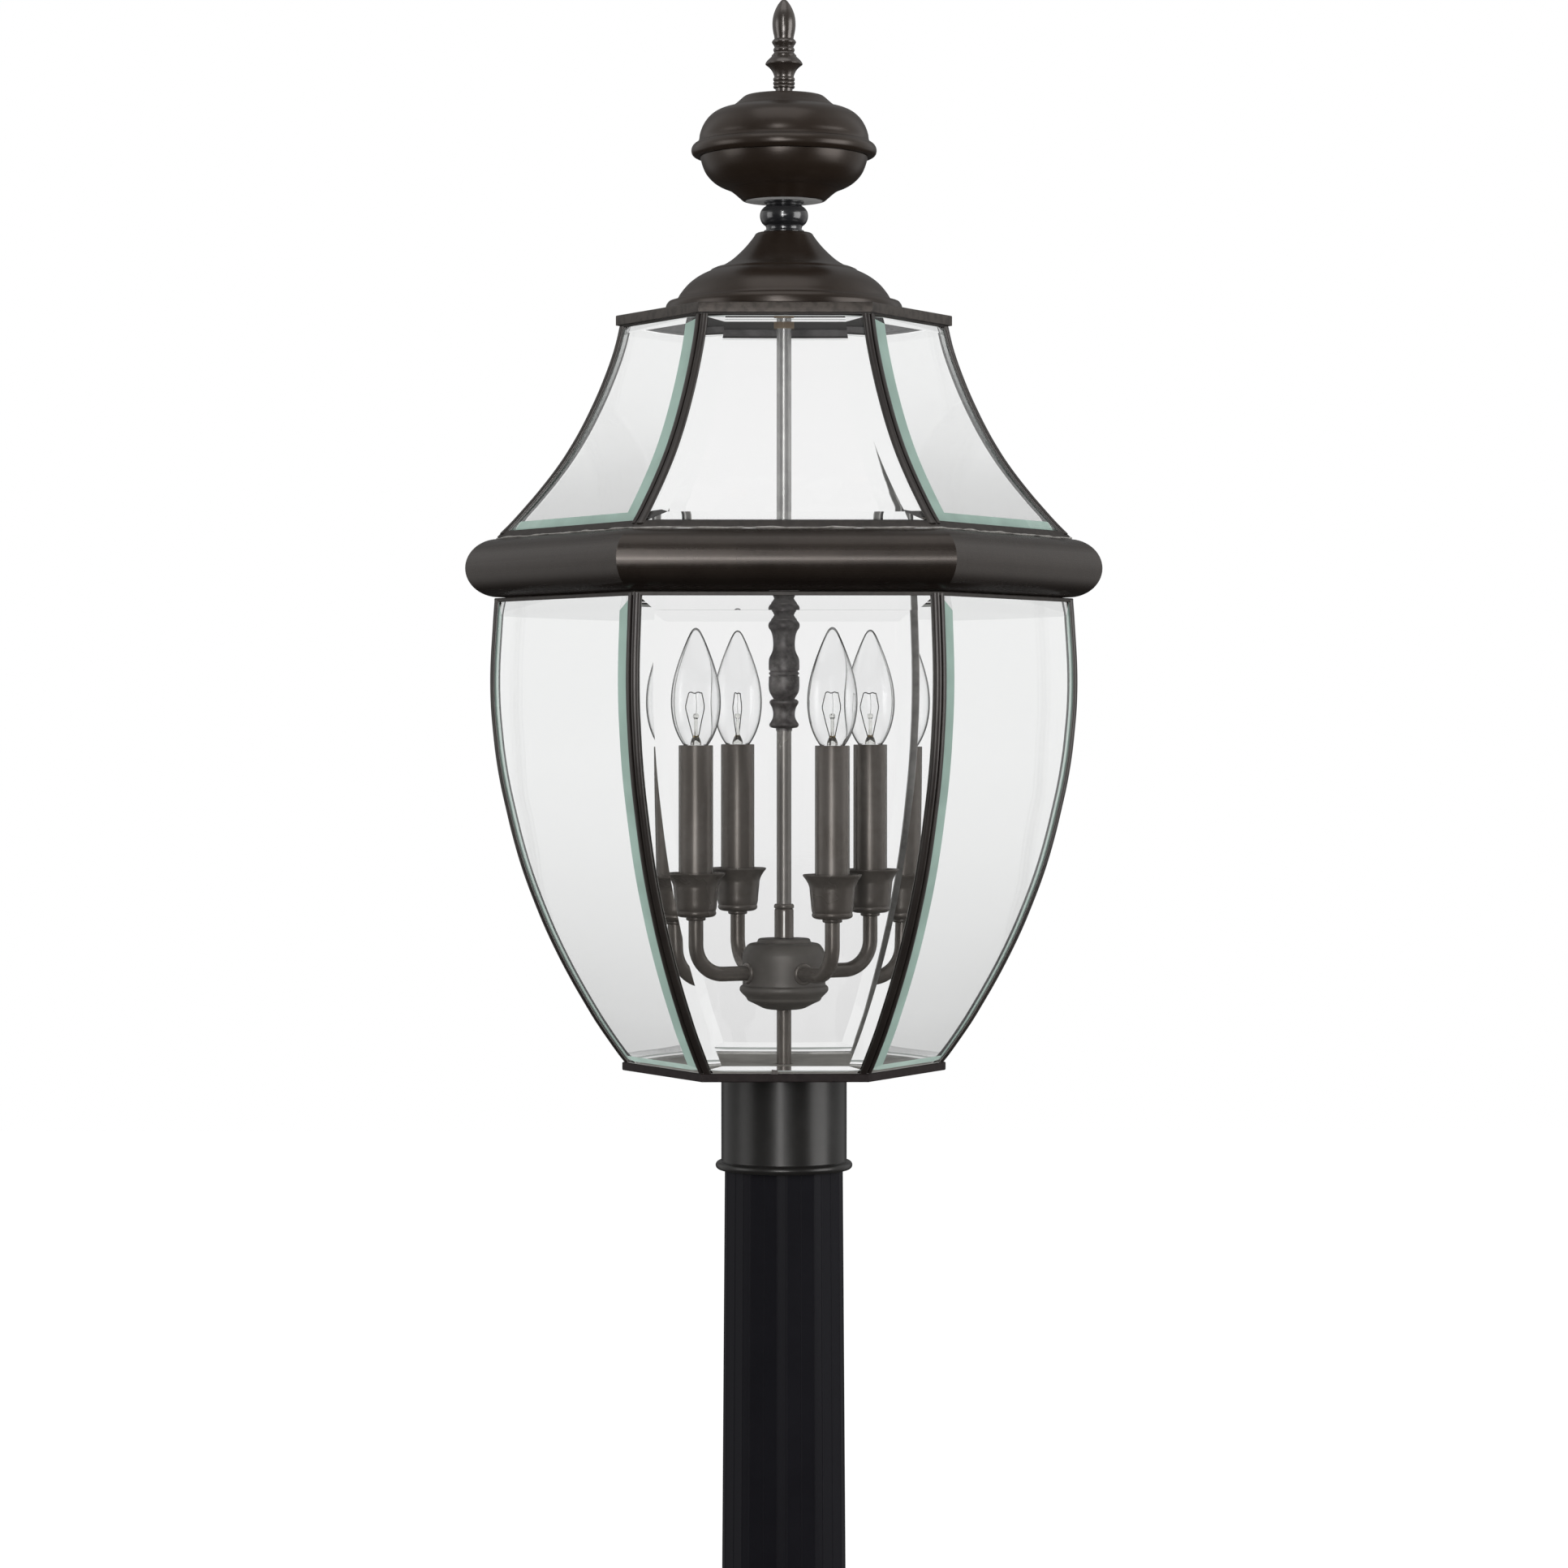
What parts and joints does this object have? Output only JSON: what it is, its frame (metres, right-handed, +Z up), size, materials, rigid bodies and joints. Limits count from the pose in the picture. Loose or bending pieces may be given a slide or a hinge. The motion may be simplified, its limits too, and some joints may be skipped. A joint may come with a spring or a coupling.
{
  "type": "post top lantern",
  "caption": "Hexagonal post-top lantern with bent bevelled glass in a bronze cage, candle lamps round a centre rod, a lift-off roof with dome, ball and finial, on a fluted post top.",
  "frame": {"origin": "centre of the cut foot of the post section, on its axis", "axes": "+Z up along the post and the rod; one face of the hexagon looks along -Y (the front); +X to the right seen from the front"},
  "size_m": [0.406, 0.3516, 1.0185],
  "materials": {
    "post_black": "satin black powder coat",
    "bronze": "satin oil-rubbed bronze, brushed",
    "dark_bronze": "satin dark bronze",
    "inner_bronze": "satin grey bronze",
    "gloss_black": "gloss black",
    "clear_glass": "clear polished glass, bevelled",
    "bulb_glass": "clear thin glass",
    "brass": "satin brass",
    "lampholder": "moulded",
    "cable": "matt black sheath",
    "steel": "zinc plated"
  },
  "bodies": {
    "post": {"post": "post_black"},
    "lantern": {"fitter_collar": "bronze", "lower_frame": "dark_bronze", "floor_plate": "inner_bronze", "centre_rod": "inner_bronze", "roof_washer": "inner_bronze", "baluster": "inner_bronze", "rod_coupling": "inner_bronze", "hub": "inner_bronze", "lower_pipe": "inner_bronze", "floor_nut": "steel", "roof_nut": "brass", "supply_cable": "cable", "lower_glass_1": "clear_glass", "lower_glass_2": "clear_glass", "lower_glass_3": "clear_glass", "lower_glass_4": "clear_glass", "lower_glass_5": "clear_glass", "lower_glass_6": "clear_glass", "arm_1": "inner_bronze", "arm_2": "inner_bronze", "arm_3": "inner_bronze", "arm_4": "inner_bronze", "cup_1": "inner_bronze", "cup_2": "inner_bronze", "cup_3": "inner_bronze", "cup_4": "inner_bronze", "candle_sleeve_1": "inner_bronze", "candle_sleeve_2": "inner_bronze", "candle_sleeve_3": "inner_bronze", "candle_sleeve_4": "inner_bronze", "socket_1": "lampholder", "socket_2": "lampholder", "socket_3": "lampholder", "socket_4": "lampholder"},
    "roof": {"roof_frame": "dark_bronze", "roof_glass_1": "clear_glass", "roof_glass_2": "clear_glass", "roof_glass_3": "clear_glass", "roof_glass_4": "clear_glass", "roof_glass_5": "clear_glass", "roof_glass_6": "clear_glass", "band": "bronze", "roof_cap": "dark_bronze", "dome": "bronze", "neck": "gloss_black", "ball_lower": "bronze", "ball_upper": "bronze"},
    "finial": {"finial": "bronze"},
    "screw_1": {"set_screw_1": "dark_bronze"},
    "screw_2": {"set_screw_2": "dark_bronze"},
    "screw_3": {"set_screw_3": "dark_bronze"},
    "bulb_1": {"bulb_glass_1": "bulb_glass", "bulb_base_1": "brass"},
    "bulb_2": {"bulb_glass_2": "bulb_glass", "bulb_base_2": "brass"},
    "bulb_3": {"bulb_glass_3": "bulb_glass", "bulb_base_3": "brass"},
    "bulb_4": {"bulb_glass_4": "bulb_glass", "bulb_base_4": "brass"}
  },
  "joints": [
    {"name": "lantern_lift", "type": "slide", "parent": "post", "child": "lantern", "axis": [0, 0, 1], "range_m": [0, 0.09]},
    {"name": "roof_lift", "type": "slide", "parent": "lantern", "child": "roof", "axis": [0, 0, 1], "range_m": [0, 0.33]},
    {"name": "finial_turn", "type": "hinge", "parent": "roof", "child": "finial", "pos_m": [0, 0, 0.958], "axis": [0, 0, 1], "continuous": true},
    {"name": "set_screw_1_out", "type": "slide", "parent": "lantern", "child": "screw_1", "axis": [0.8192, 0.5736, 0], "range_m": [0, 0.005]},
    {"name": "set_screw_2_out", "type": "slide", "parent": "lantern", "child": "screw_2", "axis": [0, 1, 0], "range_m": [0, 0.005]},
    {"name": "set_screw_3_out", "type": "slide", "parent": "lantern", "child": "screw_3", "axis": [-0.8192, 0.5736, 0], "range_m": [0, 0.005]},
    {"name": "bulb_1_turn", "type": "hinge", "parent": "lantern", "child": "bulb_1", "pos_m": [0.0558, 0.02967, 0.54], "axis": [0, 0, 1], "continuous": true},
    {"name": "bulb_2_turn", "type": "hinge", "parent": "lantern", "child": "bulb_2", "pos_m": [-0.02967, 0.0558, 0.54], "axis": [0, 0, 1], "continuous": true},
    {"name": "bulb_3_turn", "type": "hinge", "parent": "lantern", "child": "bulb_3", "pos_m": [-0.0558, -0.02967, 0.54], "axis": [0, 0, 1], "continuous": true},
    {"name": "bulb_4_turn", "type": "hinge", "parent": "lantern", "child": "bulb_4", "pos_m": [0.02967, -0.0558, 0.54], "axis": [0, 0, 1], "continuous": true}
  ]
}
